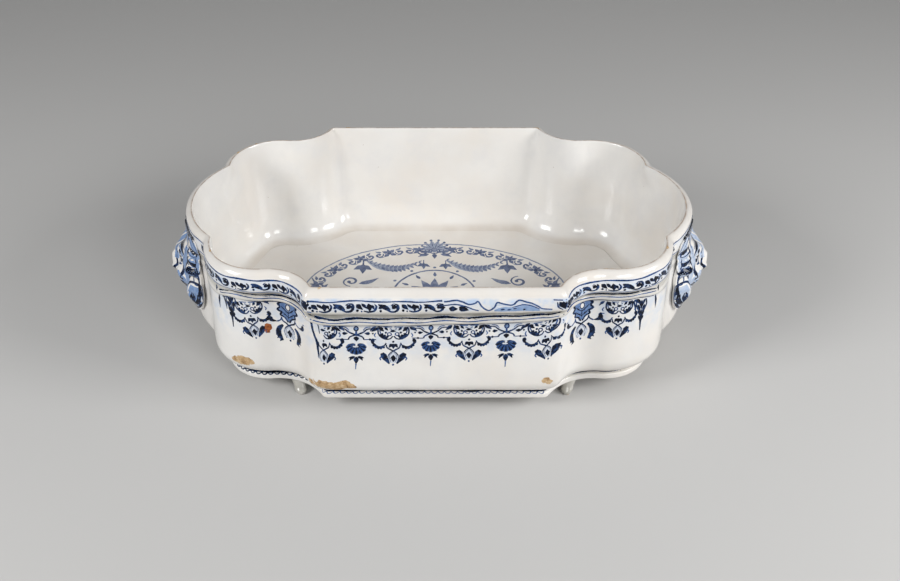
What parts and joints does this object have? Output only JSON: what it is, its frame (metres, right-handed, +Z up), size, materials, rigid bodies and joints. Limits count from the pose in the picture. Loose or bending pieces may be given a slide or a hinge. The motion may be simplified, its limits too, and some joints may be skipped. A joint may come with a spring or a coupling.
{
  "type": "oval basin",
  "caption": "Lobed oval earthenware basin with a rolled rim moulding, a flat floor, a foot ring on small splayed feet, and a grotesque mask at each end.",
  "frame": {"origin": "middle of the footprint, on the surface that the feet stand on", "axes": "+X along the length, towards the right-hand mask; +Y towards the back long side; +Z up"},
  "size_m": [0.5204, 0.298, 0.143],
  "materials": {
    "tin_glaze": "glossy opaque white tin glaze over buff earthenware, painted in cobalt blue",
    "painted_glaze": "glossy tin glaze washed and lined in cobalt blue"
  },
  "bodies": {
    "root": {"side_wall": "tin_glaze", "floor_slab": "tin_glaze", "foot_ring": "tin_glaze", "foot_front_left": "tin_glaze", "foot_front_right": "tin_glaze", "foot_back_left": "tin_glaze", "foot_back_right": "tin_glaze", "mask_left": "painted_glaze", "mask_right": "painted_glaze"}
  },
  "joints": []
}
